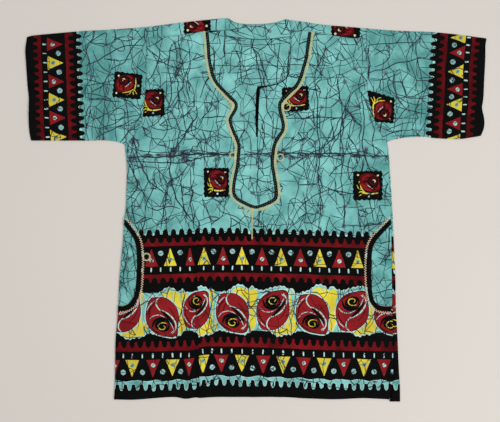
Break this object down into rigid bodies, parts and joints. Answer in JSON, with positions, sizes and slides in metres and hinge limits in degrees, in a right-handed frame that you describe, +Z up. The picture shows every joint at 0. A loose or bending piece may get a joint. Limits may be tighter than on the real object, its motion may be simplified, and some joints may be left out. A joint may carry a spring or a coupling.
{
  "type": "dashiki shirt",
  "caption": "Loose cotton dashiki shirt laid flat, with short wide sleeves, a slit neck outlined in braid, curved side pockets and wax print bands at hem and cuffs.",
  "frame": {"origin": "middle of the garment's outline, on the surface it lies on", "axes": "+X across from cuff to cuff, towards the right side of someone looking down at the front; +Y from hem to neck; +Z up, out of the front"},
  "size_m": [0.9222, 0.7672, 0.0064],
  "materials": {
    "printed_cotton": "matte resist-dyed cotton, turquoise with dark crackle lines and black, red and yellow borders",
    "turquoise_cotton": "matte resist-dyed cotton, turquoise with dark crackle lines",
    "black_braid": "embroidered black cotton braid with a low sheen"
  },
  "bodies": {
    "root": {"front_body": "printed_cotton", "back_body": "printed_cotton", "sleeve_left": "printed_cotton", "sleeve_right": "printed_cotton", "neck_facing": "turquoise_cotton", "pocket_left": "turquoise_cotton", "pocket_right": "turquoise_cotton", "neck_braid": "black_braid", "pocket_binding_left": "black_braid", "pocket_binding_right": "black_braid"}
  },
  "joints": []
}
